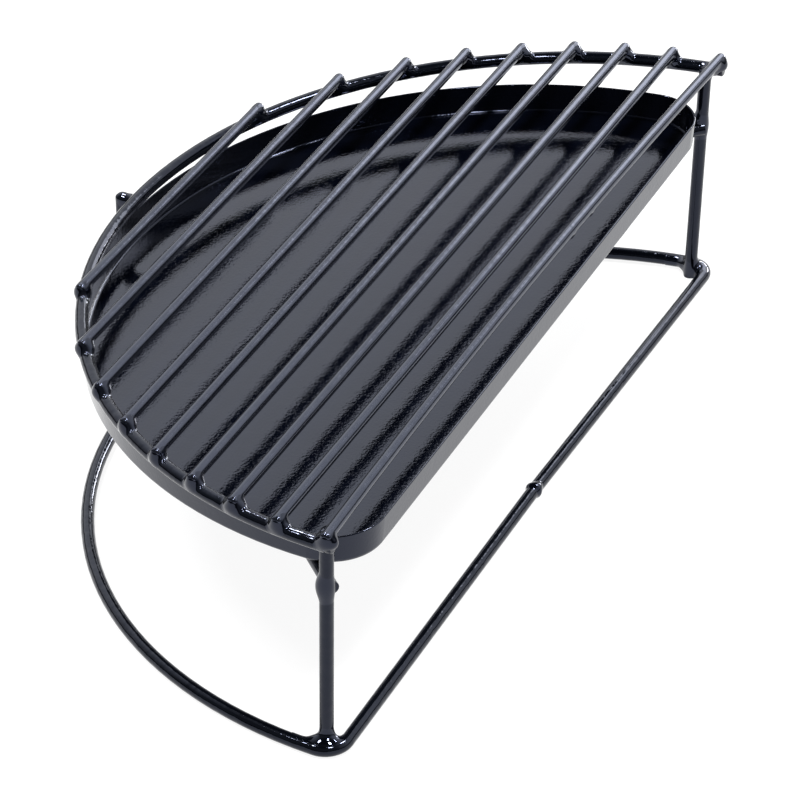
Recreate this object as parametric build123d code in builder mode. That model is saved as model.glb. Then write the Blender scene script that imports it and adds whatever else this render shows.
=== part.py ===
"""Half-moon raised grill rack with a removable half-moon drip pan.

Welded wire frame (base ring, three legs, upper rim arc, nine cooking bars and
a V-shaped pan support) carrying a pressed sheet-steel pan.

Units are millimetres.  +Z is up, +X is to the right along the cooking bars,
-Y is the open front the pan slides out of.  The origin is on the floor, under
the centre of the overall bounding box.
"""
import os
from math import atan2, cos, degrees, sin, sqrt

from build123d import *

# ---------------------------------------------------------------- driving sizes
wire_d = 6.0  # frame wire
bar_d = 5.0  # cooking bar wire
wire_r = wire_d / 2
bar_r = bar_d / 2
touch_gap = 0.1  # air left between wires that only touch side by side
weld_sink = 0.4  # how far a resistance weld presses two crossing wires together

base_radius = 205.0  # wire axis of the base ring's arc
base_centre_y = -106.7
base_front_y = -101.35  # wire axis of the straight run, beside its corners
base_front_dip = 2.3  # the straight run is pushed in this much at its middle
base_corner_radius = 9.5
base_butt_gap = 1.0  # gap between the wire's two ends, closed by weld

rim_radius = 207.5  # wire axis of the upper arc
rim_centre_y = -114.95
rim_height = 110.0
rim_end_y = -105.4  # where the arc's two ends are cut

bar_rear_y = 75.25  # axis of the rearmost cooking bar
bar_pitch = 22.2
bar_count = 9
front_bar_middle_y = -99.3  # the front bar bows, so its middle lies further in
front_bar_end_y = -103.2
bar_overhang = 3.4  # each bar runs this far past the rim's axis
bar_end_fillet = 1.6

leg_foot_x = 197.95
leg_foot_y = -93.3
leg_top_x = 200.2
leg_top_y = -99.0
leg_top_gap = 0.3  # air between a front leg's top and the front bar
rear_leg_top = 109.4
rear_leg_lean = 2.9  # its top stands this much further in than its foot
leg_end_fillet = 1.4

pan_bottom = 85.5
pan_depth = 14.1
pan_flare = 1.5  # how far the wall leans out over its height
pan_radius = 190.5  # outside of the floor's arc
pan_centre_y = -93.8
pan_front_y = -105.2  # outside of the floor's straight front edge
pan_turn = 0.57  # degrees; the pan lies this much askew in the rack
pan_corner_radius = 22.0
pan_floor_fillet = 2.2
pan_sheet = 1.0
pan_lip_fillet = 0.45

support_clearance = 0.3  # air between the pan's floor and the wire under it
support_bend_radius = 10.0
support_offset = 2.3  # each arm meets its front leg this far off the leg's axis

# ------------------------------------------------------------- worked-out sizes
bar_height = rim_height + wire_r + bar_r - weld_sink
support_height = pan_bottom - support_clearance - wire_r
rear_foot_y = base_centre_y + base_radius + wire_d + touch_gap
rear_top_y = rear_foot_y - rear_leg_lean
leg_top = bar_height - bar_r - leg_top_gap
# the nine bars are numbered from the back of the rack to its front; the front one is
# listed by where it crosses the rim
bar_ys = [bar_rear_y - bar_pitch * step for step in range(bar_count - 1)] + [front_bar_end_y]

os.makedirs("parts", exist_ok=True)


def finish(part, label):
    """Name a finished piece and write it to its own STEP file."""
    part.label = label
    export_step(part, f"parts/{label}.step")


def arc_x(radius, centre_y, y):
    """Half-width of an arc's circle at the line Y = y."""
    return sqrt(radius**2 - (y - centre_y) ** 2)


def weld_bead(width, height):
    """A drop-shaped bead of weld metal, centred on the origin, upright."""
    with BuildPart() as bead:
        with BuildSketch(Plane.XZ):
            Ellipse(width / 2, height / 2)
            with Locations((-width / 2, 0)):
                Rectangle(width, 2 * height, mode=Mode.SUBTRACT)
        revolve(axis=Axis.Z)
    return bead.part


# -------------------------------------------------------------------- base ring
# One wire bent to a D, its two ends butted at the middle of the straight run.
base_corner_x = arc_x(base_radius, base_centre_y, base_front_y)
base_middle_y = base_front_y + base_front_dip
base_corner_angle = degrees(atan2(base_front_y - base_centre_y, base_corner_x))

with BuildPart() as base_ring:
    with BuildLine(Plane.XY.offset(wire_r)) as base_path:
        Line((base_butt_gap / 2, base_middle_y), (base_corner_x, base_front_y))
        CenterArc(
            (0, base_centre_y), base_radius, base_corner_angle, 180 - 2 * base_corner_angle
        )
        Line((-base_corner_x, base_front_y), (-base_butt_gap / 2, base_middle_y))
        corners = [
            corner
            for corner in base_path.vertices()
            if abs(abs(corner.X) - base_corner_x) < touch_gap
        ]
        fillet(corners, base_corner_radius)
    base_wire = base_path.wires()[0]
    with BuildSketch(Plane(origin=base_wire @ 0, z_dir=base_wire % 0)):
        Circle(wire_r)
    sweep(path=base_wire)
finish(base_ring.part, "base_ring")

with BuildPart() as base_ring_weld:
    with BuildSketch(Plane.YZ.offset(-base_butt_gap / 2)):
        with Locations((base_middle_y, wire_r)):
            Circle(wire_r)
    extrude(amount=base_butt_gap)
finish(base_ring_weld.part, "base_ring_weld")

# ------------------------------------------------------------------- upper rim
rim_end_angle = degrees(atan2(rim_end_y - rim_centre_y, arc_x(rim_radius, rim_centre_y, rim_end_y)))

with BuildPart() as rim_arc:
    with BuildLine(Plane.XY.offset(rim_height)) as rim_path:
        CenterArc((0, rim_centre_y), rim_radius, rim_end_angle, 180 - 2 * rim_end_angle)
    rim_wire = rim_path.wires()[0]
    with BuildSketch(Plane(origin=rim_wire @ 0, z_dir=rim_wire % 0)):
        Circle(wire_r)
    sweep(path=rim_wire)
    rim_ends = rim_arc.faces().filter_by(GeomType.PLANE)
    fillet(rim_ends.edges(), 0.8)
finish(rim_arc.part, "rim_arc")

# ---------------------------------------------------------------- cooking bars
grill_bars = []
for number, bar_y in enumerate(bar_ys, start=1):
    bar_half_length = arc_x(rim_radius, rim_centre_y, bar_y) + bar_overhang
    middle_y = front_bar_middle_y if number == bar_count else bar_y
    with BuildPart() as grill_bar:
        with BuildLine(Plane.XY.offset(bar_height)) as bar_line:
            if middle_y == bar_y:
                Line((-bar_half_length, bar_y), (bar_half_length, bar_y))
            else:
                ThreePointArc((-bar_half_length, bar_y), (0, middle_y), (bar_half_length, bar_y))
        bar_path = bar_line.wires()[0]
        with BuildSketch(Plane(origin=bar_path @ 0, z_dir=bar_path % 0)):
            Circle(bar_r)
        sweep(path=bar_path)
        bar_faces = grill_bar.faces().filter_by(GeomType.PLANE)
        fillet(bar_faces.edges(), bar_end_fillet)
    finish(grill_bar.part, f"grill_bar_{number}")
    grill_bars.append(grill_bar.part)

# ------------------------------------------------------------------------ legs
# Three straight wires, cut flat on the floor.  The front two stand inside the
# base ring and the rim, the rear one outside both.
leg_ends = {
    "front_left_leg": (
        Vector(-leg_foot_x, leg_foot_y, 0),
        Vector(-leg_top_x, leg_top_y, leg_top),
    ),
    "front_right_leg": (
        Vector(leg_foot_x, leg_foot_y, 0),
        Vector(leg_top_x, leg_top_y, leg_top),
    ),
    "rear_leg": (Vector(0, rear_foot_y, 0), Vector(0, rear_top_y, rear_leg_top)),
}
legs = []
for leg_name, (foot, head) in leg_ends.items():
    leg_line = head - foot
    with BuildPart() as leg:
        with BuildSketch(Plane(origin=head, z_dir=leg_line)):
            Circle(wire_r)
        extrude(amount=-(leg_line.length + wire_r))
        fillet(leg.edges().sort_by(Axis.Z)[-1], leg_end_fillet)
        split(bisect_by=Plane.XY, keep=Keep.TOP)
    finish(leg.part, leg_name)
    legs.append(leg.part)

# ------------------------------------------------------------------ pan support
# One wire bent to a V: its bend lies against the rear leg, and each arm runs
# forward under the pan and ends against the back of a front leg.
support_share = support_height / leg_top
leg_at_support_x = leg_foot_x + (leg_top_x - leg_foot_x) * support_share
leg_at_support_y = leg_foot_y + (leg_top_y - leg_foot_y) * support_share
rear_leg_at_support_y = rear_foot_y - rear_leg_lean * support_height / rear_leg_top
support_bend_y = rear_leg_at_support_y - wire_d - touch_gap
# the sharp corner of the V lies behind the bend by this much, for a square V
support_corner_y = support_bend_y + support_bend_radius * (sqrt(2) - 1)
arm_turn = atan2(support_corner_y - leg_at_support_y, leg_at_support_x)
arm_end_x = leg_at_support_x - support_offset * sin(arm_turn)
arm_end_y = leg_at_support_y - support_offset * cos(arm_turn)

with BuildPart() as tray_support:
    with BuildLine(Plane.XY.offset(support_height)) as support_path:
        Line((-arm_end_x, arm_end_y), (0, support_corner_y))
        Line((0, support_corner_y), (arm_end_x, arm_end_y))
        fillet(support_path.vertices().sort_by(Axis.Y)[-1], support_bend_radius)
    support_wire = support_path.wires()[0]
    with BuildSketch(Plane(origin=support_wire @ 0, z_dir=support_wire % 0)):
        Circle(wire_r)
    sweep(path=support_wire)
    # the arms' ends are saddle-cut to the front legs
    for leg_solid in legs:
        add(leg_solid, mode=Mode.SUBTRACT)
finish(tray_support.part, "tray_support")

# ------------------------------------------------------------------ weld beads
# Each bead fills the corner between two wires.  Where it is small beside the
# wires, it keeps only the metal that lies outside both of them; at the tops of
# the legs it is one blob of metal that both wires are sunk into.
bar_bead = weld_bead(width=8.0, height=6.4)
with BuildPart() as bar_weld_beads:
    for bar_y in bar_ys:
        crossing_x = arc_x(rim_radius, rim_centre_y, bar_y)
        with Locations(
            (-crossing_x, bar_y, bar_height - bar_r), (crossing_x, bar_y, bar_height - bar_r)
        ):
            add(bar_bead)
    add(rim_arc.part, mode=Mode.SUBTRACT)
    for grill_bar_solid in grill_bars:
        add(grill_bar_solid, mode=Mode.SUBTRACT)
    for leg_solid in legs:
        add(leg_solid, mode=Mode.SUBTRACT)
finish(bar_weld_beads.part, "bar_weld_beads")

foot_bead = weld_bead(width=8.4, height=9.0)
foot_bead_z = 6.5
foot_bead_x = leg_foot_x + wire_r
with BuildPart() as foot_welds:
    with Locations(
        (-foot_bead_x, leg_foot_y, foot_bead_z),
        (foot_bead_x, leg_foot_y, foot_bead_z),
        (0, rear_foot_y - wire_r, foot_bead_z),
    ):
        add(foot_bead)
    add(base_ring.part, mode=Mode.SUBTRACT)
    for leg_solid in legs:
        add(leg_solid, mode=Mode.SUBTRACT)
finish(foot_welds.part, "foot_welds")

top_bead = weld_bead(width=7.6, height=8.4)
front_top_bead_x = leg_top_x + wire_r + 0.4
front_top_bead_y = leg_top_y - 0.3
front_top_bead_z = rim_height - 4.8
rear_bead_y = (rear_top_y + rim_centre_y + rim_radius) / 2
rear_bead_z = rim_height - 3.0
rear_bead_length = rear_top_y - (rim_centre_y + rim_radius) + 1.5
with BuildPart() as leg_top_welds:
    with Locations(
        (-front_top_bead_x, front_top_bead_y, front_top_bead_z),
        (front_top_bead_x, front_top_bead_y, front_top_bead_z),
    ):
        add(top_bead)
    # the rear leg stands off the rim, and the weld bridges the space between
    with Locations(Location((0, rear_bead_y, rear_bead_z), (90, 0, 0))):
        add(weld_bead(width=6.4, height=rear_bead_length))
finish(leg_top_welds.part, "leg_top_welds")

support_bead = weld_bead(width=8.8, height=12.5)
front_support_bead_z = support_height + 0.6
rear_support_bead_z = support_height - 3.6
with BuildPart() as support_welds:
    with Locations(
        (-leg_at_support_x, leg_at_support_y, front_support_bead_z),
        (leg_at_support_x, leg_at_support_y, front_support_bead_z),
        (0, rear_leg_at_support_y - wire_r, rear_support_bead_z),
    ):
        add(support_bead)
    add(tray_support.part, mode=Mode.SUBTRACT)
    for leg_solid in legs:
        add(leg_solid, mode=Mode.SUBTRACT)
finish(support_welds.part, "support_welds")

# -------------------------------------------------------------------- drip pan
pan_front_corner_x = arc_x(pan_radius, pan_centre_y, pan_front_y)
pan_front_angle = degrees(atan2(pan_front_y - pan_centre_y, pan_front_corner_x))
pan_wall_lean = degrees(atan2(pan_flare, pan_depth))

with BuildPart() as drip_pan:
    with BuildSketch(Plane.XY.offset(pan_bottom)) as pan_floor:
        with BuildLine():
            CenterArc(
                (0, pan_centre_y), pan_radius, pan_front_angle, 180 - 2 * pan_front_angle
            )
            Line((-pan_front_corner_x, pan_front_y), (pan_front_corner_x, pan_front_y))
        make_face()
        fillet(pan_floor.vertices(), pan_corner_radius)
    extrude(amount=pan_depth, taper=-pan_wall_lean)
    fillet(drip_pan.faces().sort_by(Axis.Z)[0].edges(), pan_floor_fillet)
    offset(amount=-pan_sheet, openings=drip_pan.faces().sort_by(Axis.Z)[-1])
    fillet(drip_pan.faces().sort_by(Axis.Z)[-1].edges(), pan_lip_fillet)
finish(drip_pan.part.rotate(Axis.Z, pan_turn), "drip_pan")
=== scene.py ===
"""Half-moon grill rack with its drip pan: the looks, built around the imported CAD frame."""

from math import atan2, cos, pi, radians, sin, sqrt

import bmesh
import bpy
import numpy as np
from mathutils import Matrix, Vector


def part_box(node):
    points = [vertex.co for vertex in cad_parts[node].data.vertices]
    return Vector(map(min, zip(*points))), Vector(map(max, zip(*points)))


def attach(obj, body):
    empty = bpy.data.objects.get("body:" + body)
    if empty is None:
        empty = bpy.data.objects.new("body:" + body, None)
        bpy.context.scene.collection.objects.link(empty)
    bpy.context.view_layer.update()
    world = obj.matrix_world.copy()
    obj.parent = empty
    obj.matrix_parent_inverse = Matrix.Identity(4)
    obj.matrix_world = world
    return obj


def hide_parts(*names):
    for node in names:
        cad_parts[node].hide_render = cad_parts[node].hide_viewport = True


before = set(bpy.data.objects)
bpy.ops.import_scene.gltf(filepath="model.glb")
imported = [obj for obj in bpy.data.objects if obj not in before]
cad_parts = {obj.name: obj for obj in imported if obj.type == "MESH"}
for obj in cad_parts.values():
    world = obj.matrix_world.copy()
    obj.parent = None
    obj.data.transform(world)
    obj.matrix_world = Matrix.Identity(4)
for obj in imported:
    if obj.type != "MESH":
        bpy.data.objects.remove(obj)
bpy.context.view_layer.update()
MM = 0.001  # shapes are worked out in millimetres and built in metres

# ------------------------------------------------------------------ sizes read from the frame
RACK = "rack"
BAR_NAMES = [f"grill_bar_{number}" for number in range(1, 10)]  # from the back to the front
FRONT_BAR = BAR_NAMES[-1]
FRONT_LEGS = (("front_left_leg", -1), ("front_right_leg", 1))  # with the side of X they stand on
REAR_LEG = "rear_leg"
SIDES = (-1, 1)


def box(node):
    """The node's lowest and highest corners in millimetres, as vectors."""
    low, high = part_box(node)
    return Vector(low) / MM, Vector(high) / MM


def arc_radius(half_width, depth):
    """Radius of the arc that is this wide at its ends and this deep at its middle."""
    return (half_width**2 + depth**2) / (2 * depth)


bar_low, bar_high = box(BAR_NAMES[0])
BAR_R = (bar_high.z - bar_low.z) / 2
BAR_Z = (bar_low.z + bar_high.z) / 2
TOP_Z = bar_high.z

ring_low, ring_high = box("base_ring")
WIRE_R = (ring_high.z - ring_low.z) / 2
RING_Z = WIRE_R
RING_RADIUS = ring_high.x - WIRE_R
RING_BACK_Y = ring_high.y - WIRE_R
RING_FRONT_Y = ring_low.y + WIRE_R
RING_CORNER_R = 9.5  # bend radius of the wire's axis at the two front corners
weld_low, weld_high = box("base_ring_weld")
RING_MIDDLE_Y = (weld_low.y + weld_high.y) / 2

rim_low, rim_high = box("rim_arc")
RIM_Z = (rim_low.z + rim_high.z) / 2
RIM_END_Y = rim_low.y
RIM_BACK_Y = rim_high.y - WIRE_R
RIM_RADIUS = arc_radius(rim_high.x - WIRE_R, RIM_BACK_Y - RIM_END_Y)
RIM_CENTRE_Y = RIM_BACK_Y - RIM_RADIUS

support_low, support_high = box("tray_support")
SUPPORT_Z = (support_low.z + support_high.z) / 2
SUPPORT_BEND_Y = support_high.y - WIRE_R


# ------------------------------------------------------------------ node helpers
def new_material(name):
    material = bpy.data.materials.new(name)
    material.use_nodes = True
    nodes = material.node_tree.nodes
    return material, nodes, material.node_tree.links, nodes["Principled BSDF"]


def add_noise(nodes, links, scale, detail=2.0, roughness=0.5):
    """Noise in object space; scale is in cycles per metre."""
    coordinates = nodes.new("ShaderNodeTexCoord")
    noise = nodes.new("ShaderNodeTexNoise")
    noise.inputs["Scale"].default_value = scale
    noise.inputs["Detail"].default_value = detail
    noise.inputs["Roughness"].default_value = roughness
    links.new(coordinates.outputs["Object"], noise.inputs["Vector"])
    return noise.outputs["Fac"]


def add_bump(nodes, links, height, distance, base=None):
    """A bump this many metres deep, on top of another one if base is given."""
    bump = nodes.new("ShaderNodeBump")
    bump.inputs["Distance"].default_value = distance
    bump.inputs["Strength"].default_value = 1.0
    links.new(height, bump.inputs["Height"])
    if base is not None:
        links.new(base, bump.inputs["Normal"])
    return bump.outputs["Normal"]


def add_ramp(nodes, links, value, stops):
    """A colour ramp through (position, colour) stops."""
    ramp = nodes.new("ShaderNodeValToRGB")
    elements = ramp.color_ramp.elements
    while len(elements) < len(stops):
        elements.new(0.5)
    for element, (position, colour) in zip(elements, stops):
        element.position = position
        element.color = (*colour, 1.0)
    links.new(value, ramp.inputs["Fac"])
    return ramp.outputs["Color"]


def map_range(nodes, links, value, from_range, to_range):
    node = nodes.new("ShaderNodeMapRange")
    node.inputs["From Min"].default_value, node.inputs["From Max"].default_value = from_range
    node.inputs["To Min"].default_value, node.inputs["To Max"].default_value = to_range
    links.new(value, node.inputs["Value"])
    return node.outputs["Result"]


def multiply(nodes, links, first, second):
    """The product of an output and another output or a number."""
    node = nodes.new("ShaderNodeMath")
    node.operation = "MULTIPLY"
    links.new(first, node.inputs[0])
    if isinstance(second, float):
        node.inputs[1].default_value = second
    else:
        links.new(second, node.inputs[1])
    return node.outputs["Value"]


# ------------------------------------------------------------------ materials
GLEAM = (0.63, 0.70, 0.98, 1.0)  # the enamel's reflections lean to blue
TONE_SCALE, TONE_DETAIL = 60.0, 4.0  # slow drift of the glass's own colour
TONE_FROM, TONE_TO = 0.35, 0.7
CLOUD_SCALE, CLOUD_DETAIL, CLOUD_ROUGHNESS = 140.0, 3.0, 0.6  # patches of more and less gloss
CLOUD_RANGE = (0.3, 0.7)
PEEL_DETAIL, PEEL_ROUGHNESS = 2.0, 0.45
GRAIN_DETAIL, GRAIN_ROUGHNESS = 2.0, 0.6
INK = (0.0005, 0.0007, 0.0015)  # the darkest tone of the rack's enamel


def add_dome(nodes, links, height, half_width):
    """A shallow ridge along X, highest over the origin, as a height in metres."""
    coordinates = nodes.new("ShaderNodeTexCoord")
    split = nodes.new("ShaderNodeSeparateXYZ")
    links.new(coordinates.outputs["Object"], split.inputs["Vector"])
    square = multiply(nodes, links, split.outputs["Y"], split.outputs["Y"])
    return multiply(nodes, links, square, -height / half_width**2)


def enamel(name, low, high, rough, peel, grain, ior, dome=None):
    """Fired porcelain enamel: near-black glass over steel.

    low and high are its darkest and lightest colour, rough its lowest and highest
    roughness.  peel and grain are the (scale, depth) of its orange peel and of its fine
    grain.  dome is the (height, half-width) of sheet metal that bowed upward in firing.
    """
    material, nodes, links, shader = new_material(name)
    shader.inputs["IOR"].default_value = ior
    shader.inputs["Specular Tint"].default_value = GLEAM
    tone = add_noise(nodes, links, TONE_SCALE, TONE_DETAIL)
    colour = add_ramp(nodes, links, tone, [(TONE_FROM, low), (TONE_TO, high)])
    links.new(colour, shader.inputs["Base Color"])
    cloud = add_noise(nodes, links, CLOUD_SCALE, CLOUD_DETAIL, CLOUD_ROUGHNESS)
    roughness = map_range(nodes, links, cloud, CLOUD_RANGE, rough)
    links.new(roughness, shader.inputs["Roughness"])
    peel_scale, peel_depth = peel
    grain_scale, grain_depth = grain
    waves = add_noise(nodes, links, peel_scale, PEEL_DETAIL, PEEL_ROUGHNESS)
    grains = add_noise(nodes, links, grain_scale, GRAIN_DETAIL, GRAIN_ROUGHNESS)
    normal = add_bump(nodes, links, waves, peel_depth)
    normal = add_bump(nodes, links, grains, grain_depth, normal)
    if dome:
        normal = add_bump(nodes, links, add_dome(nodes, links, *dome), 1.0, normal)
    links.new(normal, shader.inputs["Normal"])
    return material


FRAME_ENAMEL = enamel(
    "frame_enamel",
    low=INK,
    high=(0.0012, 0.0018, 0.003),
    rough=(0.06, 0.12),
    peel=(160.0, 0.0003),
    grain=(1500.0, 0.00001),
    ior=1.45,
)
BAR_ENAMEL = enamel(
    "bar_enamel",
    low=INK,
    high=(0.0015, 0.002, 0.003),
    rough=(0.12, 0.2),
    peel=(170.0, 0.00012),
    grain=(1800.0, 0.00002),
    ior=1.76,
)
WELD_ENAMEL = enamel(
    "weld_enamel",
    low=INK,
    high=(0.001, 0.0015, 0.003),
    rough=(0.015, 0.04),
    peel=(300.0, 0.00006),
    grain=(1500.0, 0.000003),
    ior=1.55,
)
PAN_ENAMEL = enamel(
    "pan_enamel",
    low=(0.0004, 0.0006, 0.0015),
    high=(0.0008, 0.0012, 0.003),
    rough=(0.02, 0.05),
    peel=(90.0, 0.00006),
    grain=(750.0, 0.00005),
    ior=1.53,
    dome=(0.0015, 0.1),
)


def dress(node, material):
    """Give a carried-over CAD node its finished material."""
    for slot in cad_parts[node].material_slots:
        slot.material = material


for node in BAR_NAMES:
    dress(node, BAR_ENAMEL)
for node in ("base_ring", "rim_arc", "tray_support", "front_left_leg", "front_right_leg", REAR_LEG):
    dress(node, FRAME_ENAMEL)
dress("drip_pan", PAN_ENAMEL)


# ------------------------------------------------------------------ flowing skins
# Where wires are welded, the enamel has pooled into one smooth skin.  Each skin is the
# surface of a distance field in millimetres that blends the wires and lumps of a joint.
# A joint is a dictionary: centre and half are the middle and half-size of the box that
# the skin fills, wires are (axis points, radius), lumps are (centre, half-sizes), swell
# thickens the skin within about reach of the centre, and blend is the width of its webs.
SINK = 0.07  # away from a weld the skin dips this far into the wires
NET_STEP = 0.42  # spacing of the grid that the field is sampled on
LUMP_BLEND = 2.2
SETTLE_PASSES = 2
NUDGE = 0.02  # half the span over which the field's slope is measured
LEAST_SLOPE = 0.2  # squared slopes below this are not trusted


def smooth_min(first, second, blend):
    overlap = np.clip(blend - np.abs(first - second), 0, None) / blend
    return np.minimum(first, second) - overlap**2 * blend / 4


def wire_distance(points, path, radius):
    """Distance from the surface of a round wire whose axis is a polyline."""
    nearest = np.full(len(points), np.inf)
    for start, end in zip(path[:-1], path[1:]):
        start = np.array(start, float)
        run = np.array(end, float) - start
        share = np.clip((points - start) @ run / (run @ run), 0, 1)
        gap = np.linalg.norm(points - start - share[:, None] * run, axis=1)
        nearest = np.minimum(nearest, gap)
    return nearest - radius


def lump_distance(points, centre, size):
    """Roughly the distance from an upright ellipsoid with these half-sizes."""
    scaled = np.linalg.norm((points - np.array(centre)) / np.array(size), axis=1)
    return (scaled - 1) * min(size)


def skin_distance(points, centre, half, wires, lumps, swell, reach, blend):
    """Distance from a joint's skin, cut to its box and to the rack's own height."""
    surface = wire_distance(points, *wires[0])
    for wire in wires[1:]:
        surface = smooth_min(surface, wire_distance(points, *wire), blend)
    for lump in lumps:
        surface = smooth_min(surface, lump_distance(points, *lump), LUMP_BLEND)
    gap = np.linalg.norm(points - centre, axis=1)
    surface = surface + SINK - swell * np.exp(-((gap / reach) ** 2))
    outside = np.max(np.abs(points - centre) - half, axis=1)
    beyond = np.maximum(points[:, 2] - TOP_Z, -points[:, 2])
    return np.maximum(surface, np.maximum(outside, beyond))


def surface_net(distance, low, high, step):
    """Vertices and quads of the surface distance(points) == 0 within a box."""
    axes = [np.arange(a, b + step, step) for a, b in zip(low, high)]
    shape = tuple(len(axis) for axis in axes)
    grid = np.stack(np.meshgrid(*axes, indexing="ij"), axis=-1)
    value = distance(grid.reshape(-1, 3)).reshape(shape)
    cells = tuple(count - 1 for count in shape)
    total = np.zeros(cells + (3,))
    hits = np.zeros(cells)
    crossings = []
    for axis in range(3):
        # where the surface crosses the grid edges that run along this axis
        first = [slice(None)] * 3
        second = [slice(None)] * 3
        first[axis] = slice(0, -1)
        second[axis] = slice(1, None)
        near, far = value[tuple(first)], value[tuple(second)]
        cross = (near < 0) != (far < 0)
        share = np.where(cross, near / np.where(cross, near - far, 1), 0)
        edge = grid[tuple(second)] - grid[tuple(first)]
        point = grid[tuple(first)] + share[..., None] * edge
        # each of the four cells round such an edge takes its crossing into its mean
        others = [other for other in range(3) if other != axis]
        for u in (0, 1):
            for v in (0, 1):
                part = [slice(None)] * 3
                part[others[0]] = slice(u, cells[others[0]] + u)
                part[others[1]] = slice(v, cells[others[1]] + v)
                found = cross[tuple(part)]
                total += np.where(found[..., None], point[tuple(part)], 0)
                hits += found
        crossings.append((others, np.argwhere(cross)))
    used = hits > 0
    index = np.full(cells, -1)
    index[used] = np.arange(used.sum())
    vertices = total[used] / hits[used][:, None]
    quads = []
    for others, corners in crossings:
        ring = []
        for u, v in ((1, 1), (0, 1), (0, 0), (1, 0)):
            cell = corners.copy()
            cell[:, others[0]] -= u
            cell[:, others[1]] -= v
            ring.append(index[tuple(cell.T)])
        quads.append(np.stack(ring, axis=1))
    return vertices, np.concatenate(quads)


def settle(distance, vertices):
    """Slide net vertices onto the surface itself."""
    for _ in range(SETTLE_PASSES):
        slopes = []
        for side in np.eye(3):
            rise = distance(vertices + NUDGE * side) - distance(vertices - NUDGE * side)
            slopes.append(rise / (2 * NUDGE))
        slope = np.stack(slopes, axis=1)
        steepness = np.maximum((slope**2).sum(axis=1), LEAST_SLOPE)
        move = np.clip(distance(vertices) / steepness, -NET_STEP, NET_STEP)
        vertices = vertices - move[:, None] * slope
    return vertices


def build_skin(name, joints, material, stands_for=()):
    """One piece of the rack made of the skins of several joints, in place of CAD nodes."""
    vertices = []
    quads = []
    count = 0
    for joint in joints:
        centre, half = np.array(joint["centre"], float), np.array(joint["half"], float)

        def distance(points):
            return skin_distance(points, **joint)

        low = centre - half - NET_STEP
        high = centre + half + 2 * NET_STEP
        net, faces = surface_net(distance, low, high, NET_STEP)
        vertices.append(settle(distance, net))
        quads.append(faces + count)
        count += len(net)
    mesh = bpy.data.meshes.new(name)
    points = np.concatenate(vertices) * MM
    mesh.from_pydata(points.tolist(), [], np.concatenate(quads).tolist())
    cleaner = bmesh.new()
    cleaner.from_mesh(mesh)
    bmesh.ops.recalc_face_normals(cleaner, faces=cleaner.faces)
    for face in cleaner.faces:
        face.smooth = True
    cleaner.to_mesh(mesh)
    cleaner.free()
    mesh.materials.append(material)
    piece = bpy.data.objects.new(name, mesh)
    bpy.context.collection.objects.link(piece)
    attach(piece, RACK)
    if stands_for:
        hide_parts(*stands_for)


# ------------------------------------------------------------------ the wires' axes
RIM_RUN = 16  # length of rim on each side of a joint
BAR_RUN = 24  # length of bar behind its end
BAR_END_SHORT = 2.2  # a bar's axis stops this far inside its rounded end
RIM_END_SHORT = 2.6  # the rim's axis stops this far inside its cut end
LEG_END_SHORT = 2.0  # a leg's axis stops this far under its top
RIM_POINTS = 19


def rim_x(y):
    return sqrt(RIM_RADIUS**2 - (y - RIM_CENTRE_Y) ** 2)


def rim_path(x, y):
    """The rim's axis near a point, as a polyline that stops at the rim's cut end."""
    middle_angle = atan2(y - RIM_CENTRE_Y, x)
    turn = RIM_RUN / RIM_RADIUS
    path = []
    for step in np.linspace(-turn, turn, RIM_POINTS):
        path_x = RIM_RADIUS * cos(middle_angle + step)
        path_y = RIM_CENTRE_Y + RIM_RADIUS * sin(middle_angle + step)
        if path_y > RIM_END_Y + RIM_END_SHORT:
            path.append((path_x, path_y, RIM_Z))
    return path


def leg_line(node):
    """A leg's axis from its foot to its top, read from its box."""
    low, high = box(node)
    top_z = high.z - LEG_END_SHORT
    if node == REAR_LEG:
        return [(0.0, high.y - WIRE_R, 0.0), (0.0, low.y + WIRE_R, top_z)]
    side = 1 if low.x + high.x > 0 else -1
    outer, inner = (high.x, low.x) if side > 0 else (low.x, high.x)
    foot = (inner + side * WIRE_R, high.y - WIRE_R, 0.0)
    head = (outer - side * WIRE_R, low.y + WIRE_R, top_z)
    return [foot, head]


def along(line, z):
    """The point of a line at this height."""
    foot, head = np.array(line[0]), np.array(line[1])
    return foot + (head - foot) * (z - foot[2]) / (head[2] - foot[2])


def bar_y(node, x):
    """A bar's axis at this X; only the front bar bows, and its middle lies further in."""
    low, high = box(node)
    end_y, middle_y = low.y + BAR_R, high.y - BAR_R
    return middle_y + (end_y - middle_y) * (x / high.x) ** 2


def ring_corner_path(side):
    """The base ring's axis around a front corner, from its straight run into its arc."""
    straight, arc = 20, 24  # lengths on each side of the corner
    centre_y = RING_BACK_Y - RING_RADIUS
    corner_y = RING_FRONT_Y + RING_CORNER_R
    corner_x = sqrt((RING_RADIUS - RING_CORNER_R) ** 2 - (corner_y - centre_y) ** 2)
    join = atan2(corner_y - centre_y, corner_x)
    path = [(corner_x - straight, RING_FRONT_Y)]
    for step in np.linspace(-pi / 2, join, 12):
        path.append((corner_x + RING_CORNER_R * cos(step), corner_y + RING_CORNER_R * sin(step)))
    for step in np.linspace(join, join + arc / RING_RADIUS, 10)[1:]:
        path.append((RING_RADIUS * cos(step), centre_y + RING_RADIUS * sin(step)))
    return [(side * x, y, RING_Z) for x, y in path]


def back_arc(radius, back_y, z, turn, count):
    """An arc's axis on both sides of its rearmost point."""
    path = []
    for step in np.linspace(-turn, turn, count):
        path.append((radius * sin(step), back_y - radius * (1 - cos(step)), z))
    return path


# ------------------------------------------------------------------ welds on the rim
rng = np.random.default_rng(7)


def vary(spread):
    return rng.uniform(-spread, spread)


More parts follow.
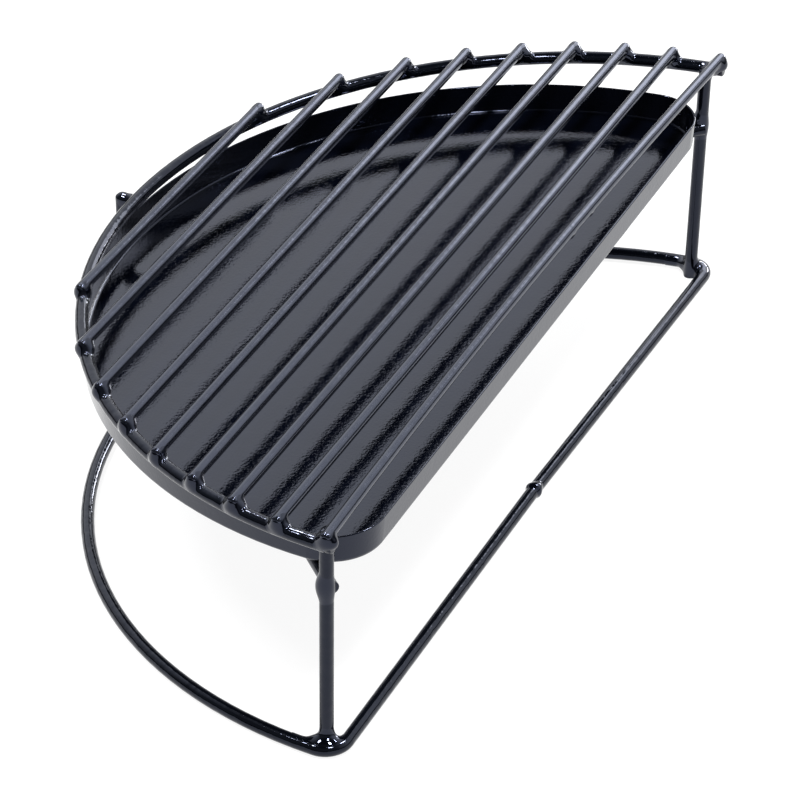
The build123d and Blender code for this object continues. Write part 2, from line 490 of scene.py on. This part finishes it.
def bar_joint(node, side):
    """A bar's end on the rim: the bar, the rim, and a sagging bead between them."""
    end = side * box(node)[1].x
    y = bar_y(node, end)
    x = side * rim_x(y)
    tip = end - side * BAR_END_SHORT
    root = end - side * BAR_RUN
    bar = [(root, bar_y(node, root), BAR_Z), (tip, y, BAR_Z)]
    bead_place = (x + vary(0.3), y + vary(0.4), RIM_Z + 2.4 + vary(0.3))
    bead_size = (3.7 + vary(0.3), 3.9 + vary(0.5), 3.3)
    return {
        "centre": (x, y, RIM_Z + 2.0),
        "half": (11.0, 11.0, 9.0),
        "wires": [(bar, BAR_R), (rim_path(x, y), WIRE_R)],
        "lumps": [(bead_place, bead_size)],
        "swell": 0.28,
        "reach": 4.2,
        "blend": 3.0 + vary(0.4),
    }


def front_corner_joint(leg, side):
    """An end of the front bar, where the rim's cut end and a leg's top meet it too."""
    joint = bar_joint(FRONT_BAR, side)
    x, y, _ = joint["centre"]
    joint["centre"] = (x, y + 2.0, RIM_Z - 2.0)
    joint["half"] = (11.0, 12.0, 15.0)
    joint["wires"].append((leg_line(leg), WIRE_R))
    joint["blend"] = 4.4
    return joint


def rear_top_joint():
    """The rear leg's top, with weld metal that bridges the space to the rim."""
    line = leg_line(REAR_LEG)
    bridge_y = (RIM_BACK_Y + line[1][1]) / 2
    return {
        "centre": (0.0, bridge_y, RIM_Z - 2.5),
        "half": (10.0, 9.0, 9.0),
        "wires": [(rim_path(0.0, RIM_BACK_Y), WIRE_R), (line, WIRE_R)],
        "lumps": [((0.0, bridge_y, RIM_Z - 3.0), (3.2, 4.6, 3.2))],
        "swell": 0.15,
        "reach": 5.0,
        "blend": 3.6,
    }


rim_joints = [bar_joint(node, side) for node in BAR_NAMES[:-1] for side in SIDES]
rim_joints += [front_corner_joint(leg, side) for leg, side in FRONT_LEGS]
rim_joints.append(rear_top_joint())
rim_nodes = ["bar_weld_beads", "leg_top_welds"]
build_skin("bar_weld_skins", rim_joints, WELD_ENAMEL, rim_nodes)


# ------------------------------------------------------------------ welds at the feet
def front_foot_joint(leg, side):
    """A front leg on the ring's corner, in a low puddle that runs out along the ring."""
    line = leg_line(leg)
    x, y, _ = line[0]
    return {
        "centre": (x + side * 2.5, y, 6.0),
        "half": (11.0, 14.0, 10.5),
        "wires": [(ring_corner_path(side), WIRE_R), (line, WIRE_R)],
        "lumps": [((x + side * 2.8, y + 0.2, 3.6), (3.0, 6.2, 3.0))],
        "swell": 0.2,
        "reach": 6.0,
        "blend": 6.0,
    }


def rear_foot_joint():
    """The rear leg against the outside of the ring."""
    line = leg_line(REAR_LEG)
    y = line[0][1]
    arc = back_arc(RING_RADIUS, RING_BACK_Y, RING_Z, 16 / RING_RADIUS, 13)
    return {
        "centre": (0.0, y - 2.5, 6.0),
        "half": (12.0, 10.0, 10.5),
        "wires": [(arc, WIRE_R), (line, WIRE_R)],
        "lumps": [((0.0, y - 2.8, 5.0), (5.6, 3.2, 4.2))],
        "swell": 0.25,
        "reach": 6.0,
        "blend": 5.0,
    }


foot_joints = [front_foot_joint(leg, side) for leg, side in FRONT_LEGS]
foot_joints.append(rear_foot_joint())
build_skin("foot_weld_skins", foot_joints, WELD_ENAMEL, ["foot_welds"])


# ------------------------------------------------------------------ welds of the pan support
ARM_AIM_PAST_BEND = 4.1  # the arms aim this far behind the bend's axis
ARM_START, ARM_RUN = 5.0, 16  # the stretch of arm that the skin takes in


def front_support_joint(leg, side):
    """An arm of the support against a front leg, in a tall collar of enamel."""
    line = leg_line(leg)
    near = along(line, SUPPORT_Z)
    aim = np.array((0.0, SUPPORT_BEND_Y + ARM_AIM_PAST_BEND, SUPPORT_Z)) - near
    aim /= np.linalg.norm(aim)
    arm_end = np.array((side * (support_high.x - WIRE_R * 0.7), near[1], SUPPORT_Z))
    start = arm_end + aim * ARM_START
    arm = [tuple(start), tuple(start + aim * ARM_RUN)]
    return {
        "centre": tuple(near + (0, 0, 1.0)),
        "half": (9.5, 9.5, 11.0),
        "wires": [(line, WIRE_R), (arm, WIRE_R)],
        "lumps": [(tuple(near + (0, 0.9, 1.2)), (3.45, 3.8, 6.2))],
        "swell": 0.1,
        "reach": 6.0,
        "blend": 2.6,
    }


def rear_support_joint():
    """The support's bend against the rear leg."""
    line = leg_line(REAR_LEG)
    middle_y = (along(line, SUPPORT_Z)[1] + SUPPORT_BEND_Y) / 2
    bend = back_arc(10.0, SUPPORT_BEND_Y, SUPPORT_Z, 0.75, 11)
    return {
        "centre": (0.0, middle_y, SUPPORT_Z - 1.0),
        "half": (9.0, 8.5, 8.5),
        "wires": [(line, WIRE_R), (bend, WIRE_R)],
        "lumps": [((0.0, middle_y, SUPPORT_Z - 2.0), (4.2, 3.6, 4.6))],
        "swell": 0.1,
        "reach": 6.0,
        "blend": 2.6,
    }


support_joints = [front_support_joint(leg, side) for leg, side in FRONT_LEGS]
support_joints.append(rear_support_joint())
build_skin("support_weld_skins", support_joints, WELD_ENAMEL, ["support_welds"])


# ------------------------------------------------------------------ butt weld and drips
def butt_joint():
    """The weld that closes the ring: a slight kink, a collar and a blob on its front."""
    kink = 0.1
    reach_x = 10
    wire = [
        (-reach_x, RING_MIDDLE_Y - kink, RING_Z),
        (0, RING_MIDDLE_Y, RING_Z),
        (reach_x, RING_MIDDLE_Y - kink, RING_Z),
    ]
    collar = ((-0.5, RING_MIDDLE_Y, RING_Z + 0.1), (1.5, 3.35, 3.3))
    blob = ((1.3, RING_MIDDLE_Y - 1.4, RING_Z + 1.6), (1.2, 1.3, 1.3))
    return {
        "centre": (0.0, RING_MIDDLE_Y, RING_Z),
        "half": (7.0, 5.0, 5.0),
        "wires": [(wire, WIRE_R)],
        "lumps": [collar, blob],
        "swell": 0.12,
        "reach": 3.0,
        "blend": 1.0,
    }


def drip_joint(x, drop):
    """A drop of enamel that set under the front bar as it drained."""
    y = bar_y(FRONT_BAR, x)
    return {
        "centre": (x, y, BAR_Z),
        "half": (7.0, 4.0, 5.5),
        "wires": [([(x - 12, y, BAR_Z), (x + 12, y, BAR_Z)], BAR_R)],
        "lumps": [((x, y - 0.2, BAR_Z - 2.0), (1.9, 1.5, drop + 0.9))],
        "swell": 0.05,
        "reach": 3.0,
        "blend": 2.0,
    }


build_skin("base_ring_weld_skin", [butt_joint()], WELD_ENAMEL, ["base_ring_weld"])
drips = [drip_joint(41.0, 1.5), drip_joint(61.0, 1.2)]
build_skin("front_bar_drips", drips, BAR_ENAMEL)

# ------------------------------------------------------------------ floor, camera, light
FLOOR_HALF = 6.0
PAPER_TONE = (0.11, 0.11, 0.11, 1)
PAPER_GLOW = 0.9
WHITE = (1, 1, 1, 1)

CAMERA_POSITION = Vector((-1.42145, -0.73790, 1.08880))
CAMERA_TARGET = Vector((0.00658, -0.03081, 0.02917))
CAMERA_ROLL = radians(-1.872)
CAMERA_SENSOR = 36.0
CAMERA_LENS = 192.2715

# the world's brightness by the direction's Z, from low to overhead
STUDIO_DARK = (0.07, 0.07, 0.075)
STUDIO_BRIGHT = (0.97, 0.985, 1.0)
STUDIO_WALL = [(0.12, STUDIO_DARK), (0.3, STUDIO_BRIGHT), (0.74, STUDIO_BRIGHT), (0.9, STUDIO_DARK)]
# and its strength by the direction's X, from the camera's side to the far side
SIDE_FROM_TO = (-0.35, 0.4)
SIDE_STRENGTH = (0.18, 1.45)

LAMP_OUT = 0.7
LAMP_HEIGHT = 1.85
LAMP_SIZE = (0.3, 0.3)
LAMP_POWER = 26.0


def add_floor():
    """White paper that keeps its own glow, so that the rack's soft shadow stays faint."""
    mesh = bpy.data.meshes.new("floor")
    corners = [(x * FLOOR_HALF, y * FLOOR_HALF, 0) for x, y in ((-1, -1), (1, -1), (1, 1), (-1, 1))]
    mesh.from_pydata(corners, [], [(0, 1, 2, 3)])
    floor = bpy.data.objects.new("floor", mesh)
    bpy.context.collection.objects.link(floor)
    material, _, _, shader = new_material("floor_paper")
    shader.inputs["Base Color"].default_value = PAPER_TONE
    shader.inputs["Roughness"].default_value = 1.0
    shader.inputs["Emission Color"].default_value = WHITE
    shader.inputs["Emission Strength"].default_value = PAPER_GLOW
    mesh.materials.append(material)


def add_camera():
    """The camera stands off the rack's left end, looking down along the bars."""
    forward = (CAMERA_TARGET - CAMERA_POSITION).normalized()
    right = forward.cross(Vector((0, 0, 1))).normalized()
    up = right.cross(forward)
    rolled_right = right * cos(CAMERA_ROLL) + up * sin(CAMERA_ROLL)
    rolled_up = up * cos(CAMERA_ROLL) - right * sin(CAMERA_ROLL)
    data = bpy.data.cameras.new("camera")
    data.sensor_width = CAMERA_SENSOR
    data.lens = CAMERA_LENS
    data.clip_end = 50
    camera = bpy.data.objects.new("camera", data)
    axes = Matrix((rolled_right, rolled_up, -forward)).transposed()
    camera.matrix_world = Matrix.Translation(CAMERA_POSITION) @ axes.to_4x4()
    bpy.context.collection.objects.link(camera)
    bpy.context.scene.camera = camera


def add_area(name, position, target, size, power):
    data = bpy.data.lights.new(name, "AREA")
    data.shape = "RECTANGLE"
    data.size, data.size_y = size
    data.energy = power
    light = bpy.data.objects.new(name, data)
    light.location = position
    direction = Vector(target) - Vector(position)
    light.rotation_euler = direction.to_track_quat("-Z", "Y").to_euler()
    bpy.context.collection.objects.link(light)


def add_world():
    """A bright wall of light on the far side, dim on the near side, dark low down and overhead.

    Seen directly it is plain white, like the paper.
    """
    world = bpy.data.worlds.new("studio")
    world.use_nodes = True
    bpy.context.scene.world = world
    nodes, links = world.node_tree.nodes, world.node_tree.links
    coordinates = nodes.new("ShaderNodeTexCoord")
    split = nodes.new("ShaderNodeSeparateXYZ")
    links.new(coordinates.outputs["Generated"], split.inputs["Vector"])
    wall = add_ramp(nodes, links, split.outputs["Z"], STUDIO_WALL)
    side = map_range(nodes, links, split.outputs["X"], SIDE_FROM_TO, SIDE_STRENGTH)
    studio = nodes["Background"]
    links.new(wall, studio.inputs["Color"])
    links.new(side, studio.inputs["Strength"])
    paper = nodes.new("ShaderNodeBackground")
    paper.inputs["Color"].default_value = WHITE
    sight = nodes.new("ShaderNodeLightPath")
    mix = nodes.new("ShaderNodeMixShader")
    links.new(sight.outputs["Is Camera Ray"], mix.inputs["Fac"])
    links.new(studio.outputs["Background"], mix.inputs[1])
    links.new(paper.outputs["Background"], mix.inputs[2])
    links.new(mix.outputs["Shader"], nodes["World Output"].inputs["Surface"])


def add_lights():
    """A low strip and a panel on the far side, and four small lamps that make the sparkles."""
    add_area("low_back_strip", (1.84, -0.50, 0.44), (0, 0, 0.05), (0.6, 0.3), 14.0)
    add_area("far_panel", (1.0, -0.12, 0.66), (0.1, -0.05, 0.1), (0.6, 0.4), 3.0)
    for x in (-LAMP_OUT, LAMP_OUT):
        for y in (-LAMP_OUT, LAMP_OUT):
            add_area(f"lamp_{x}_{y}", (x, y, LAMP_HEIGHT), (0, 0, 0.1), LAMP_SIZE, LAMP_POWER)


add_floor()
add_camera()
add_world()
add_lights()
bpy.context.scene.view_settings.view_transform = "Standard"
